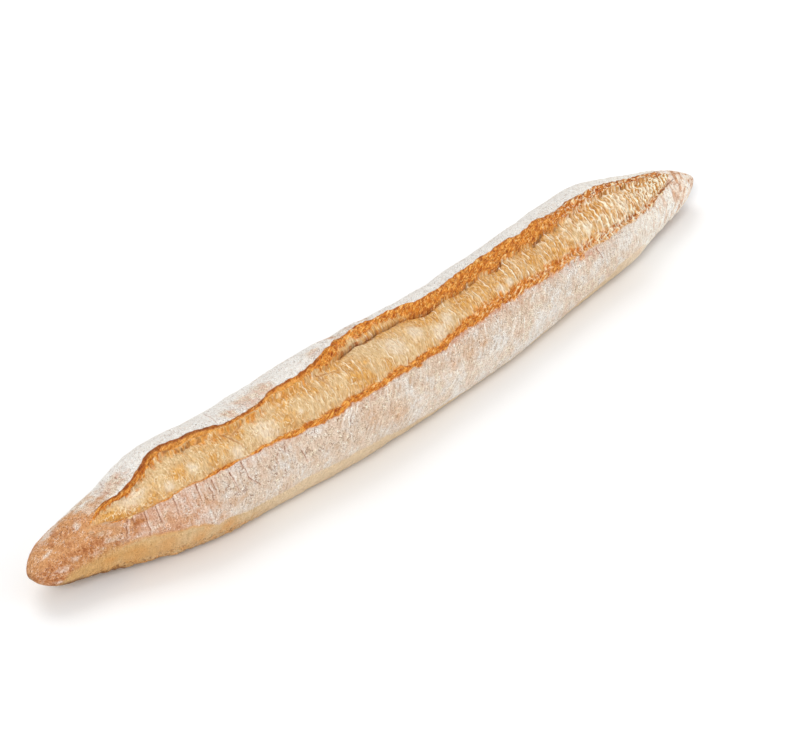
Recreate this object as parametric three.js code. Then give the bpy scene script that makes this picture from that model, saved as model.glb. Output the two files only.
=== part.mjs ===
import * as THREE from "three";

// Sourdough baguette lying on its flat base, lengthwise along X, in millimetres with Z up.
// One long cut runs along the top: its near edge is a low lip, its far edge stands up as an ear.
// Round a section, 0 degrees is the side at -Y, 90 the top, 180 the side at +Y and 270 the base.

const LENGTH = 520;
const DOME_RATIO = 0.75; // dome height over width
const WAIST_RATIO = 0.42; // height of the widest line over the dome height
const NOSE_LENGTH = 17; // length of each rounded tip
const TIP_LIFT = 12; // how far the underside curves up at the tips
const LIFT_REACH = 0.26; // part of the length over which it curves up
const CORNER_POWER = 0.8; // 1 is a round lower corner, less is squarer
const FLAT_CUT = 1.12; // how far the lower curve runs past the flat base
const BASE_EDGE = Math.asin((1 / FLAT_CUT) ** (1 / CORNER_POWER)) * (180 / Math.PI);

const CUT_START = -230;
const CUT_END = 240;
const CUT_RAMP = 30; // length over which the cut deepens at each end
const LIP_RISE = 0.9;
const LIP_SPREAD = 4; // degrees to each side of the lip
const LIP_FOOT = 0.1; // rise of the skin where the lip starts
const CRUMB_SINK = 0.8; // depth of the opened crumb beside the lip
const CRUMB_SWELL = 1.5; // how much it swells between lip and groove
const CRUMB_LEAN = 0.8; // less than 1 puts the top of the swell nearer to the lip
const CRUMB_RIPPLE = 0.3;
const GROOVE_RUN = 3; // degrees over which the crumb drops into the groove
const GROOVE_DEPTH = 1.7; // depth of the groove over the sink of the crumb
const UNDERCUT_RATIO = 0.62; // depth of the undercut over the rise of the ear
const UNDERCUT_REACH = 2.8; // degrees that the undercut reaches back below the ear
const NARROW_FACE = 4; // degrees of face up to which there is no undercut
const BROAD_FACE = 9; // degrees of face from which the undercut is full
const FACE_FOOT = 0.05; // rise of the face at the groove over the rise of the ear
const FACE_BULGE = 0.85; // less than 1 makes the face round outwards
const EDGE_RUN = 3; // degrees of the rounded edge of the ear
const BACK_RUN = 46; // degrees over which the far side rises to the ear
const BACK_HOLLOW = 1.2; // more than 1 makes that rise hollow
const WANDER = 0.7; // degrees that lip and ear stray from their lines
const SKIN_DENT = 0.35;
const FULL_RELIEF = 20; // half width from which the relief has its full height

// Part of the length, width, sideways bow.
const BODY = [
  [0, 21, 5],
  [0.05, 32, 6],
  [0.11, 48, 3],
  [0.18, 65, -1],
  [0.27, 66, -4],
  [0.38, 70, -7],
  [0.5, 66, -8],
  [0.62, 64, -6],
  [0.73, 62, 0],
  [0.82, 61, 3],
  [0.89, 46, 4],
  [0.95, 29, 3],
  [1, 11, 2],
];

// Position along X and degrees round the section: where the lip runs.
const LIP = [
  [-230, 60],
  [-219, 57],
  [-205, 50],
  [-180, 47],
  [-130, 47],
  [-70, 43],
  [-5, 44],
  [28, 50],
  [75, 49],
  [125, 39],
  [172, 34],
  [195, 37],
  [215, 47],
  [240, 68],
];

// The same for the edge of the ear.
const EAR = [
  [-230, 77],
  [-211, 88],
  [-204, 83],
  [-178, 97],
  [-156, 97],
  [-142, 89],
  [-130, 86],
  [-112, 87],
  [-90, 92],
  [-78, 90],
  [-60, 94],
  [-34, 103],
  [-10, 104],
  [18, 94],
  [60, 101],
  [125, 97],
  [170, 91],
  [200, 89],
  [224, 97],
  [240, 100],
];

// Degrees of torn face between the groove and the edge of the ear.
const FACE = [
  [-230, 6],
  [-205, 4],
  [-178, 7],
  [-156, 10],
  [-140, 6],
  [-112, 5],
  [-90, 8],
  [-75, 6],
  [-60, 8],
  [-42, 10],
  [-30, 12],
  [-12, 10],
  [20, 10],
  [60, 15],
  [118, 16],
  [150, 10],
  [200, 8],
  [224, 11],
  [240, 12],
];

// How far the edge of the ear stands above the dome.
const EAR_RISE = [
  [-230, 0],
  [-178, 2.6],
  [-130, 1.3],
  [-90, 1.8],
  [-42, 4.5],
  [0, 4.2],
  [60, 3.4],
  [150, 2.7],
  [205, 1.7],
  [226, 1.3],
  [240, 0],
];

const STATIONS = 108;
const CROWDING = 0.3; // how much the stations crowd towards the tips
const COLUMNS = {
  base: 3,
  corner: 4,
  nearSide: 5,
  lip: 4,
  crumb: 7,
  face: 3,
  edge: 2,
  farSide: 7,
};

const toRadians = Math.PI / 180;

function clamp(value, low, high) {
  return Math.min(high, Math.max(low, value));
}

function mix(from, to, part) {
  return from + (to - from) * part;
}

function smooth(low, high, value) {
  const part = clamp((value - low) / (high - low), 0, 1);
  return part * part * (3 - 2 * part);
}

// Smooth curve through the rows of a table that never swings past its points.
function curveOf(table, column) {
  const count = table.length;
  const slopes = [];
  for (let i = 0; i < count - 1; i += 1) {
    slopes.push((table[i + 1][column] - table[i][column]) / (table[i + 1][0] - table[i][0]));
  }
  const tangents = [slopes[0]];
  for (let i = 1; i < count - 1; i += 1) {
    const product = slopes[i - 1] * slopes[i];
    tangents.push(product > 0 ? (2 * product) / (slopes[i - 1] + slopes[i]) : 0);
  }
  tangents.push(slopes[count - 2]);
  return function curve(at) {
    const place = clamp(at, table[0][0], table[count - 1][0]);
    let i = 0;
    while (i < count - 2 && place > table[i + 1][0]) {
      i += 1;
    }
    const span = table[i + 1][0] - table[i][0];
    const s = (place - table[i][0]) / span;
    const middle = mix(table[i][column], table[i + 1][column], s * s * (3 - 2 * s));
    const leave = s * (1 - s) * (1 - s) * span * tangents[i];
    const arrive = s * s * (s - 1) * span * tangents[i + 1];
    return middle + leave + arrive;
  };
}

// Seeded random numbers from 0 to 1.
function randomSource(seed) {
  let state = seed;
  return function next() {
    state = (state + 0x6d2b79f5) | 0;
    let mixed = Math.imul(state ^ (state >>> 15), 1 | state);
    mixed = (mixed + Math.imul(mixed ^ (mixed >>> 7), 61 | mixed)) ^ mixed;
    return ((mixed ^ (mixed >>> 14)) >>> 0) / 4294967296;
  };
}

// Sum of waves between two lengths, of about unit size.
function wavesOf(seed, count, shortest, longest) {
  const random = randomSource(seed);
  const waves = [];
  for (let i = 0; i < count; i += 1) {
    const length = mix(shortest, longest, (i + random()) / count);
    waves.push({ rate: (2 * Math.PI) / length, phase: 2 * Math.PI * random() });
  }
  return function sum(at) {
    let total = 0;
    for (const wave of waves) {
      total += Math.sin(wave.rate * at + wave.phase);
    }
    return total / Math.sqrt(count);
  };
}

const widthAt = curveOf(BODY, 1);
const bowAt = curveOf(BODY, 2);
const lipLine = curveOf(LIP, 1);
const earLine = curveOf(EAR, 1);
const faceWidth = curveOf(FACE, 1);
const earRise = curveOf(EAR_RISE, 1);
const lipCrag = wavesOf(11, 4, 13, 34);
const earCrag = wavesOf(23, 4, 14, 40);
const grooveCrag = wavesOf(37, 4, 14, 36);
const crumbRipple = wavesOf(41, 4, 12, 26);
const sideDent = wavesOf(53, 4, 26, 90);
const sideLean = wavesOf(67, 3, 60, 140);

function sectionAt(x) {
  const part = x / LENGTH + 0.5;
  const fromTip = clamp((LENGTH / 2 - Math.abs(x)) / NOSE_LENGTH, 0, 1);
  const nose = Math.sqrt(1 - (1 - fromTip) ** 2);
  const fullHeight = widthAt(part) * DOME_RATIO;
  const lift = TIP_LIFT * clamp(1 - Math.min(part, 1 - part) / LIFT_REACH, 0, 1) ** 2;
  return {
    x,
    halfWidth: (widthAt(part) / 2) * nose,
    height: fullHeight * nose,
    bow: bowAt(part),
    floor: lift + fullHeight * WAIST_RATIO * (1 - nose),
    cut: smooth(CUT_START, CUT_START + CUT_RAMP, x) * smooth(CUT_END, CUT_END - CUT_RAMP, x),
  };
}

// Point of the plain section, flat below and domed above, as [y, z].
function plainPoint(section, degrees) {
  const across = Math.cos(degrees * toRadians);
  const up = Math.sin(degrees * toRadians);
  const waist = section.height * WAIST_RATIO;
  if (up >= 0) {
    return [section.bow - section.halfWidth * across, section.floor + mix(waist, section.height, up)];
  }
  const reach = Math.sign(across) * Math.abs(across) ** CORNER_POWER;
  const drop = Math.min(1, FLAT_CUT * Math.abs(up) ** CORNER_POWER);
  return [section.bow - section.halfWidth * reach, section.floor + waist * (1 - drop)];
}

function raisedPoint(section, degrees, rise) {
  const [y, z] = plainPoint(section, degrees);
  const before = plainPoint(section, degrees - 0.5);
  const after = plainPoint(section, degrees + 0.5);
  const alongY = after[0] - before[0];
  const alongZ = after[1] - before[1];
  const length = Math.hypot(alongY, alongZ);
  const height = rise * smooth(0, FULL_RELIEF, section.halfWidth);
  return [section.x, y - (alongZ / length) * height, z + (alongY / length) * height];
}

// Shallow dents of the skin, none on the base.
function skinDent(x, degrees) {
  const clear = smooth(-0.75, -0.2, Math.sin(degrees * toRadians));
  return SKIN_DENT * clear * sideDent(x + degrees / 4) * (1 + sideLean(x - degrees / 2) / 3);
}

// Where the lines of the cut pass a section, in degrees, and how high they stand.
function cutAt({ x, cut }) {
  const lip = lipLine(x) + WANDER * cut * lipCrag(x);
  const ear = earLine(x) + WANDER * cut * earCrag(x);
  const face = faceWidth(x) * (1 + (cut * grooveCrag(x)) / 8);
  const earHeight = earRise(x) * (1 + earCrag(x + LENGTH) / 10);
  const undercut = UNDERCUT_RATIO * earHeight * smooth(NARROW_FACE, BROAD_FACE, face);
  return {
    lip,
    ear,
    groove: ear - face,
    earHeight,
    lipHeight: LIP_RISE * cut * (1 + lipCrag(x + LENGTH) / 3),
    sink: CRUMB_SINK * cut,
    swell: CRUMB_SWELL * cut,
    ripple: CRUMB_RIPPLE * cut,
    undercut,
    fold: smooth(0.3, 1.5, undercut),
  };
}

// Degrees round the section and rise above the dome, one pair for each column.
function profileAt(section) {
  const { x, cut } = section;
  const { lip, ear, groove, earHeight, lipHeight, sink, swell, ripple, undercut, fold } = cutAt(section);
  const foot = LIP_FOOT * cut;
  const lipStart = lip - LIP_SPREAD;
  const crumbStart = lip + LIP_SPREAD;
  const crumbEnd = groove - GROOVE_RUN;
  const grooveFloor = groove - 2 + UNDERCUT_REACH * fold;
  const edgeEnd = ear + EDGE_RUN;
  const rows = [];

  function add(degrees, height) {
    rows.push([degrees, height + skinDent(x, degrees)]);
  }
  function run(from, to, count, heightOf) {
    for (let i = 0; i < count; i += 1) {
      const part = i / count;
      add(mix(from, to, part), heightOf(part));
    }
  }
  function plain() {
    return 0;
  }
  function nearSide(part) {
    return foot * smooth(0.6, 1, part);
  }
  function lipShape(part) {
    return mix(foot, -sink, smooth(0.45, 0.9, part)) + lipHeight * Math.sin(Math.PI * part) ** 2;
  }
  function crumbShape(part) {
    const bulge = swell * Math.sin(Math.PI * part ** CRUMB_LEAN);
    return bulge - sink * (1 + part / 2) + ripple * crumbRipple(x + 5 * part) * Math.sin(Math.PI * part);
  }
  function faceShape(part) {
    return earHeight * mix(FACE_FOOT, 1, part ** FACE_BULGE);
  }
  function backHeight(degrees) {
    return earHeight * (1 - smooth(-0.15, 1, (degrees - ear) / BACK_RUN)) ** BACK_HOLLOW;
  }
  function edgeShape(part) {
    return mix(earHeight, backHeight(edgeEnd), part);
  }
  function farSide(part) {
    return backHeight(mix(edgeEnd, 180, part));
  }

  run(-90, -BASE_EDGE, COLUMNS.base, plain);
  run(-BASE_EDGE, 0, COLUMNS.corner, plain);
  run(0, lipStart, COLUMNS.nearSide, nearSide);
  run(lipStart, crumbStart, COLUMNS.lip, lipShape);
  run(crumbStart, crumbEnd, COLUMNS.crumb, crumbShape);
  add(crumbEnd, -1.5 * sink);
  add(grooveFloor, -GROOVE_DEPTH * sink - undercut);
  add(groove - 1, -0.3 * sink - undercut / 3);
  run(groove, ear, COLUMNS.face, faceShape);
  run(ear, edgeEnd, COLUMNS.edge, edgeShape);
  run(edgeEnd, 180, COLUMNS.farSide, farSide);
  run(180, 180 + BASE_EDGE, COLUMNS.corner, plain);
  run(180 + BASE_EDGE, 270, COLUMNS.base, plain);
  return rows;
}

function buildLoaf() {
  const points = [];
  const faces = [];
  let columns = 0;
  points.push([-LENGTH / 2, bowAt(0), sectionAt(-LENGTH / 2).floor]);
  for (let i = 1; i < STATIONS; i += 1) {
    const even = i / STATIONS - 0.5;
    const crowded = -Math.cos((Math.PI * i) / STATIONS) / 2;
    const section = sectionAt(LENGTH * mix(even, crowded, CROWDING));
    const rows = profileAt(section);
    columns = rows.length;
    for (const [degrees, rise] of rows) {
      points.push(raisedPoint(section, degrees, rise));
    }
  }
  points.push([LENGTH / 2, bowAt(1), sectionAt(LENGTH / 2).floor]);
  const last = points.length - 1;
  const index = (station, column) => 1 + (station - 1) * columns + (column % columns);
  for (let column = 0; column < columns; column += 1) {
    faces.push(0, index(1, column), index(1, column + 1));
    faces.push(last, index(STATIONS - 1, column + 1), index(STATIONS - 1, column));
    for (let station = 1; station < STATIONS - 1; station += 1) {
      const here = index(station, column);
      const next = index(station, column + 1);
      const ahead = index(station + 1, column);
      const across = index(station + 1, column + 1);
      faces.push(here, ahead, across, here, across, next);
    }
  }
  const geometry = new THREE.BufferGeometry();
  geometry.setAttribute("position", new THREE.Float32BufferAttribute(points.flat(), 3));
  geometry.setIndex(faces);
  geometry.computeBoundingBox();
  const { min, max } = geometry.boundingBox;
  geometry.translate(-(min.x + max.x) / 2, -(min.y + max.y) / 2, -min.z);
  geometry.computeVertexNormals();
  return geometry;
}

const crust = new THREE.MeshStandardMaterial({ color: 0xdec4a2, roughness: 0.85, metalness: 0 });
const loaf = new THREE.Mesh(buildLoaf(), crust);
loaf.name = "loaf";

const baguette = new THREE.Group();
baguette.name = "sourdough_baguette";
baguette.add(loaf);

export default baguette;
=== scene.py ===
import math

import bpy
import numpy as np
from mathutils import Matrix, Vector


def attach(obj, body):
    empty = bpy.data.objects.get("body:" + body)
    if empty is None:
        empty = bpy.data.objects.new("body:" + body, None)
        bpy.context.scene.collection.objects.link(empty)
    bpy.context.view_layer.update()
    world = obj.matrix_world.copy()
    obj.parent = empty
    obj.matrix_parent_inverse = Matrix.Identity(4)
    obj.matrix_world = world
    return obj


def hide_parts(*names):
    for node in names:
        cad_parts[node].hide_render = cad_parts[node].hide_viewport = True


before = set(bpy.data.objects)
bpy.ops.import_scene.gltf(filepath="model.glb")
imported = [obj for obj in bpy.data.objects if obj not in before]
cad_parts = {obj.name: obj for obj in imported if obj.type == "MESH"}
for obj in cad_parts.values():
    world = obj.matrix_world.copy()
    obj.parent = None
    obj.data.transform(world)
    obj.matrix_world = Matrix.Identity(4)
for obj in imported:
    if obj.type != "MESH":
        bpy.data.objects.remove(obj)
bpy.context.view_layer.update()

# Dresses the sourdough baguette: crust, flour, torn crumb and toasted edges, on a plain pale floor.
# The loaf is worked out in millimetres from the same sizes as its solid, and made in metres.
# Round a section, 0 degrees is the side at -Y, 90 the top, 180 the side at +Y and 270 the base.

# Form of the loaf, as in the solid.
LENGTH = 520.0
DOME_RATIO = 0.75
WAIST_RATIO = 0.42
NOSE_LENGTH = 17.0
TIP_LIFT = 12.0
LIFT_REACH = 0.26
CORNER_POWER = 0.8
FLAT_CUT = 1.12
BASE_EDGE = math.degrees(math.asin((1 / FLAT_CUT) ** (1 / CORNER_POWER)))
CUT_START = -230.0
CUT_END = 240.0
CUT_RAMP = 30.0
LIP_RISE = 0.9
LIP_SPREAD = 4.0
LIP_FOOT = 0.1
CRUMB_SINK = 0.8
CRUMB_SWELL = 1.5
CRUMB_RIPPLE = 0.3
GROOVE_RUN = 3.0
GROOVE_DEPTH = 1.7
UNDERCUT_RATIO = 0.62
UNDERCUT_REACH = 2.8
EDGE_RUN = 3.0
BACK_RUN = 46.0
WANDER = 0.7
SKIN_DENT = 0.35
FULL_RELIEF = 20.0
LEAST_FACE = 2.2
FACE_FOOT = 0.05  # part of the ear's height at which its torn face begins

# Part of the length, width, sideways bow.
BODY = [
    (0, 21, 5), (0.05, 32, 6), (0.11, 48, 3), (0.18, 65, -1), (0.27, 66, -4), (0.38, 70, -7),
    (0.5, 66, -8), (0.62, 64, -6), (0.73, 62, 0), (0.82, 61, 3), (0.89, 46, 4), (0.95, 29, 3),
    (1, 11, 2),
]
# Position along X and degrees round the section: where the lip runs.
LIP = [
    (-230, 60), (-219, 57), (-205, 50), (-180, 47), (-130, 47), (-70, 43), (-5, 44), (28, 50),
    (75, 49), (125, 39), (172, 34), (195, 37), (215, 47), (240, 68),
]
# The same for the edge of the ear.
EAR = [
    (-230, 77), (-211, 88), (-204, 83), (-178, 97), (-156, 97), (-142, 89), (-130, 86), (-112, 87),
    (-90, 92), (-78, 90), (-60, 94), (-34, 103), (-10, 104), (18, 94), (60, 101), (125, 97),
    (170, 91), (200, 89), (224, 97), (240, 100),
]
# Degrees of torn face between the groove and the edge of the ear.
FACE = [
    (-230, 6), (-205, 4), (-178, 7), (-156, 10), (-140, 6), (-112, 5), (-90, 8), (-75, 6), (-60, 8),
    (-42, 10), (-30, 12), (-12, 10), (20, 10), (60, 15), (118, 16), (150, 10), (200, 8), (224, 11),
    (240, 12),
]
# How far the edge of the ear stands above the dome.
EAR_RISE = [
    (-230, 0), (-178, 2.6), (-130, 1.3), (-90, 1.8), (-42, 4.5), (0, 4.2), (60, 3.4), (150, 2.7),
    (205, 1.7), (226, 1.3), (240, 0),
]
# Fine unevenness along the cut, too low for the solid: rows of size, length in millimetres and seed.
LIP_UNEVEN = [(0.5, 4.1, 101), (0.35, 1.9, 102)]
EAR_UNEVEN = [(0.8, 5.3, 103), (0.45, 2.2, 104)]
FACE_UNEVEN = [(0.5, 4.7, 105)]
EAR_TOP_UNEVEN = [(0.5, 3.4, 106)]
LIP_TOP_UNEVEN = [(0.5, 2.6, 107)]
EAR_TEETH = [(0.9, 3.3, 108)]
GROOVE_UNEVEN = [(0.6, 12, 109)]
GROOVE_FILL = [(0.4, 5, 283)]
GROOVE_GAPS = [(0.9, 9, 284)]

# Looks only, from here on. Position along X and degrees: where the flour ends above the pale foot.
FLOUR_FOOT = [
    (-260, -70), (-252, -40), (-246, 3), (-240, 12), (-230, 15), (-220, 17), (-205, 15), (-195, 12),
    (-185, 7), (-175, 0), (-165, -5), (-60, -8), (-20, -20), (40, -32), (120, -20), (170, -4),
    (183, -8), (190, -18), (260, -20),
]
# The same for the dark line along the lower edge of the near end.
LOW_EDGE_LINE = [(-256, -6), (-246, -15), (-236, -23), (-226, -30), (-212, -36), (-195, -44)]
# Half width in millimetres of the toasted band along the lip, and how far its middle is above the lip.
LIP_BAND = [
    (-230, 0.7, 0), (-216, 1.2, 0.2), (-203, 0.7, 0), (-150, 0.9, 0.2), (-110, 1.5, -0.4),
    (-90, 2.0, -0.8), (-60, 2.2, 0.3), (0, 2.7, 0.3), (20, 2.6, -0.2), (32, 3.6, 0.4), (80, 3.6, 0),
    (100, 3.9, 0.8), (125, 4.0, 2.4), (150, 3.6, 3.4), (170, 3.2, 3.2), (185, 3.0, 1.8),
    (205, 3.0, 0.8), (225, 1.6, 0.2), (240, 0.8, 0),
]
# How dark the painted shadow along the bottom of the groove, under the ear, is.
GROOVE_SHADOW = [
    (-90, 0), (-70, 0.3), (-45, 0.5), (-18, 0.4), (2, 0.25), (15, 0.4), (24, 0.1), (32, 0.5),
    (46, 0.4), (55, 0.25), (90, 0.5), (120, 0.5), (150, 0.2), (200, 0.25), (235, 0),
]
# How dark the thin edge of the ear is.
EDGE_DARK = [
    (-226, 0), (-215, 0.6), (-195, 0.9), (-170, 0.95), (-140, 0.7), (-100, 0.4), (-55, 0.35),
    (-35, 0.2), (40, 0.2), (80, 0.35), (180, 0.6), (225, 0.7), (240, 0.5),
]
# How strongly the strands of the crumb stand out.
STRAND_FORCE = [
    (-230, 0.1), (-190, 0.35), (-120, 0.65), (-80, 0.8), (-40, 0.7), (20, 0.95), (90, 1.15),
    (150, 1.2), (240, 1.35),
]
# Thin cracks across the skin: upper end along X and degrees, lower end along X and degrees.
CRACKS = [
    (-209, 49, -214, 25), (-211, 41, -213, 25), (-206, 50, -207, 43), (-200, 50, -202, 17),
    (-194, 47, -195, 22), (-185, 48, -186, 25), (-172, 46, -173, 28), (-166, 37, -167, 24),
    (-163, 43, -164, 28), (-152, 41, -151, 19), (-143, 45, -143, 29), (-143, 29, -138, 16),
    (-122, 35, -124, 28), (-116, 38, -117, 32), (-108, 27, -106, 12), (140, 34, 142, 20),
    (186, -8, 168, -3), (-197, 138, -205, 103), (-205, 103, -206, 89), (-194, 113, -197, 102),
    (-130, 120, -137, 88),
]
# Folds of the torn crumb, given in the same way.
CRUMB_FOLDS = [
    (-125, 80, -139, 70), (-140, 80, -139, 70), (-139, 70, -136, 53), (-72, 83, -73, 62),
    (-72, 82, -61, 74),
]
# Pale ridges of the skin, given in the same way.
RIDGES = [
    (-70, 38, -76, 28), (-73, 39, -80, 29), (-66, 38, -69, 31), (-44, 38, -48, 22),
    (-30, 36, -33, 24), (11, 40, 8, 28), (36, 40, 33, 26), (66, 22, 62, 0), (56, 20, 51, 8),
]
# A loose flake at the lip: position along X, degrees, size in millimetres.
FLAKE = (-207, 51, 1.5)
# Tan patches of the skin, given in the same way.
TAN_PATCHES = [
    (-240, 27, 6), (-223, 25, 5), (-217, 42, 7), (-212, 36, 4), (-190, 26, 6), (-183, 18, 5),
    (-172, 28, 5), (-166, 18, 3), (-163, 2, 4), (-157, 13, 4), (-150, 12, 3), (-60, 20, 5),
    (-42, 8, 6), (5, 22, 4), (20, 22, 5), (30, 24, 4), (57, 10, 4), (229, 30, 6), (233, 12, 5),
]
# Pinkish places on the back, given in the same way.
BACK_BLUSH = [
    (-205, 98, 6), (-197, 105, 8), (-125, 95, 5), (-112, 97, 8), (-100, 100, 6), (-60, 100, 5),
    (-44, 108, 6), (-30, 113, 5), (-18, 114, 5), (240, 115, 9),
]
# Orange places on the foot, given in the same way.
FOOT_ORANGE = [
    (-223, -2, 5), (-210, -4, 6), (-193, -6, 7), (-178, -12, 5), (-160, -14, 6), (178, -6, 5),
]
# Dustings of flour on the browned end, given in the same way.
NOSE_DUST = [
    (-229, 91, 3), (-229, 82, 2.5), (-240, 124, 7), (-250, 78, 4), (-248, 23, 6), (-251, -14, 4),
    (-240, 32, 4), (-229, 23, 3.5), (-221, 36, 4), (-219, 45, 3), (-211, 42, 4), (-239, -3, 4),
    (-218, 95, 4),
]
# Whitish patches and golden patches of the crumb, given in the same way.
PALE_PATCHES = [
    (-200, 72, 8), (-183, 57, 3), (-168, 61, 3), (-141, 54, 4), (-120, 60, 7), (-96, 59, 1.5),
    (-22, 68, 7), (-5, 70, 5), (8, 57, 5), (18, 65, 4), (62, 60, 3), (70, 62, 3), (143, 60, 4),
    (176, 58, 6), (205, 62, 4),
]
GOLD_PATCHES = [
    (-217, 63, 6), (-211, 55, 4), (-203, 56, 5), (-195, 54, 5), (-192, 60, 4), (-184, 53, 4),
    (-176, 62, 4), (-155, 59, 4), (-134, 73, 4), (-100, 80, 5), (-85, 80, 6), (-72, 77, 4),
    (-63, 74, 3), (-57, 60, 4), (-50, 55, 4), (-33, 55, 4), (13, 78, 7), (35, 76, 7), (52, 77, 6),
    (57, 59, 4), (67, 69, 4), (95, 70, 5), (120, 58, 5), (147, 74, 4), (155, 78, 4), (185, 62, 5),
    (207, 75, 4), (214, 68, 4),
]
# Colours as seen, from 0 to 255, each laid over the one before by a mask and a strength.
FLOUR_TINTS = [
    ((255, 246, 233), "bright", 0.8),
    ((228, 196, 170), "brown", 0.75),
]
SKIN_TINTS = [
    ((206, 150, 96), "tan", 0.55),
    ((253, 222, 198), "tip_blush", 0.75),
]
# On the foot, the paler and brighter tints are partly its own paler colour and partly painted light against
# the shade of the down-facing foot.
FOOT_TINTS = [
    ((232, 212, 186), "pale_lit_foot", 0.45),
    ((206, 156, 92), "brown", 0.75),
    ((216, 148, 74), "foot_orange", 0.65),
    ((255, 244, 228), "bright", 0.85),
]
TOAST_TINTS = [
    ((232, 170, 88), "golden_face", 0.5),
    ((146, 70, 20), "rim", 0.5),
]

STATIONS = 910
COLUMNS = {
    "base": 2,
    "corner": 5,
    "near_side": 26,
    "lip": 10,
    "crumb": 28,
    "groove": 6,
    "face": 10,
    "edge": 3,
    "far_side": 11,
}
MILLIMETRE = 0.001
ARC = 0.57  # millimetres of skin for one degree, on the thick part of the loaf
STRAND_STEP = 4.4  # millimetres from one strand of the crumb to the next
FINE_STRAND_STEP = 3.1
STRAND_LEAN = -0.22  # how far the strands lean along the loaf for each step round it
FINE_STRAND_LEAN = -0.38
STROKE_LEAN = 0.3  # how far the torn strokes run along the loaf for each step round it
STROKE_TURN = math.degrees(math.atan(STROKE_LEAN))
LAYER_TURN = 16.0  # degrees between the loaf's length and the thin layers of the toasted edges
GRIT = 0.4  # strength of the light and dark specks, in the colours as seen
SEEN_POWER = 2.2
DARKEST_SEEN = (0.05, 0.05, 0.05)
LIGHTEST_SEEN = (0.98, 0.98, 0.98)
CREASE_SIZE = (3.0, 6.5)  # spacing of the creases of the crumb along the loaf, and their length
LINE_WIDTH = 0.55  # half width in millimetres of cracks, ridges and folds in the relief
BUMP_DEPTH = 0.0013  # metres
MEAN = 0.5  # middle value of a shader noise
SLICE = 0.5  # height at which a flat noise is cut out of a solid one
WORD = 0xFFFFFFFF  # largest number of 32 bits
HASH_STEPS = (374761393, 668265263, 1103515245)
HASH_MIX = 1274126177


def smooth(low, high, value):
    part = np.clip((value - low) / (high - low), 0, 1)
    return part * part * (3 - 2 * part)


def mix(start, end, part):
    return start + (end - start) * part


def unit(value):
    return np.clip(value, 0, 1)


def stretch(value, rise_from, rise_to, fall_from, fall_to):
    """1 over a stretch of values, and 0 before and after it."""
    return smooth(rise_from, rise_to, value) * smooth(fall_to, fall_from, value)


def bell(away, width):
    return np.exp(-((away / width) ** 2))


def fading(away, reach):
    """1 up to a place and less and less beyond it."""
    return np.exp(-np.maximum(0, away) / reach)


def curve_of(table, column=1):
    """Smooth curve through the rows of a table that never swings past its points."""
    rows = np.array(table, float)
    at, values = rows[:, 0], rows[:, column]
    span = np.diff(at)
    slope = np.diff(values) / span
    tangent = np.concatenate([slope[:1], np.zeros(len(at) - 2), slope[-1:]])
    for i in range(1, len(at) - 1):
        product = slope[i - 1] * slope[i]
        if product > 0:
            tangent[i] = 2 * product / (slope[i - 1] + slope[i])

    def curve(place):
        place = np.clip(place, at[0], at[-1])
        i = np.clip(np.searchsorted(at, place, side="left") - 1, 0, len(at) - 2)
        s = (place - at[i]) / span[i]
        leave = s * (1 - s) ** 2 * span[i] * tangent[i]
        arrive = s * s * (s - 1) * span[i] * tangent[i + 1]
        return mix(values[i], values[i + 1], s * s * (3 - 2 * s)) + leave + arrive

    return curve


def random_source(seed):
    """Seeded random numbers from 0 to 1, the same as the solid's."""
    state = [seed]

    def next_value():
        state[0] = (state[0] + 0x6D2B79F5) & WORD
        mixed = ((state[0] ^ (state[0] >> 15)) * (1 | state[0])) & WORD
        mixed = ((mixed + (((mixed ^ (mixed >> 7)) * (61 | mixed)) & WORD)) & WORD) ^ mixed
        return ((mixed ^ (mixed >> 14)) & WORD) / (WORD + 1)

    return next_value


def waves_of(seed, count, shortest, longest):
    """Sum of waves between two lengths, of about unit size."""
    random = random_source(seed)
    waves = []
    for i in range(count):
        length = mix(shortest, longest, (i + random()) / count)
        waves.append((2 * math.pi / length, 2 * math.pi * random()))

    def total(at):
        return sum(np.sin(rate * at + phase) for rate, phase in waves) / math.sqrt(count)

    return total


def noise(x, y, z, seed):
    """Gradient noise of unit grid, from about -1 to 1."""
    x, y, z = np.broadcast_arrays(x, y, z)
    cell = [np.floor(v).astype(np.int64) for v in (x, y, z)]
    inside = [v - c for v, c in zip((x, y, z), cell)]
    ease = [v * v * v * (v * (v * 6 - 15) + 10) for v in inside]
    total = np.zeros(x.shape)
    for corner in range(8):
        step = [(corner >> axis) & 1 for axis in range(3)]
        mixed = seed * 1442695 + 7
        for c, s, prime in zip(cell, step, HASH_STEPS):
            mixed = mixed + (c + s) * prime
        mixed = mixed & WORD
        mixed = ((mixed ^ (mixed >> 13)) * HASH_MIX) & WORD
        mixed = ((mixed ^ (mixed >> 16)) * HASH_STEPS[2]) & WORD
        mixed = mixed ^ (mixed >> 15)
        slope = np.zeros(x.shape)
        weight = np.ones(x.shape)
        for axis in range(3):
            push = ((mixed >> (10 * axis)) & 1023) / 511.5 - 1
            slope = slope + push * (inside[axis] - step[axis])
            weight = weight * (ease[axis] if step[axis] else 1 - ease[axis])
        total = total + slope * weight
    return total * 1.5


def layers(x, y, z, seed, count):
    """Noise with finer and weaker noise added on top."""
    total = np.zeros(np.broadcast_shapes(np.shape(x), np.shape(y), np.shape(z)))
    for i in range(count):
        total = total + noise(x * 2**i, y * 2**i, z * 2**i, seed + i) / 2**i
    return total


def uneven(x, table):
    """Unevenness along the loaf, from rows of size, length and seed."""
    return sum(size * noise(x / length, SLICE, SLICE, seed) for size, length, seed in table)


def scatter(count, seed):
    """One random value from 0 to 1 for each whole count."""
    mixed = (np.floor(count).astype(np.int64) * HASH_STEPS[0] + seed * HASH_STEPS[1]) & WORD
    mixed = ((mixed ^ (mixed >> 13)) * HASH_MIX) & WORD
    return ((mixed ^ (mixed >> 16)) & 0xFFFF) / 0xFFFF


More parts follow.
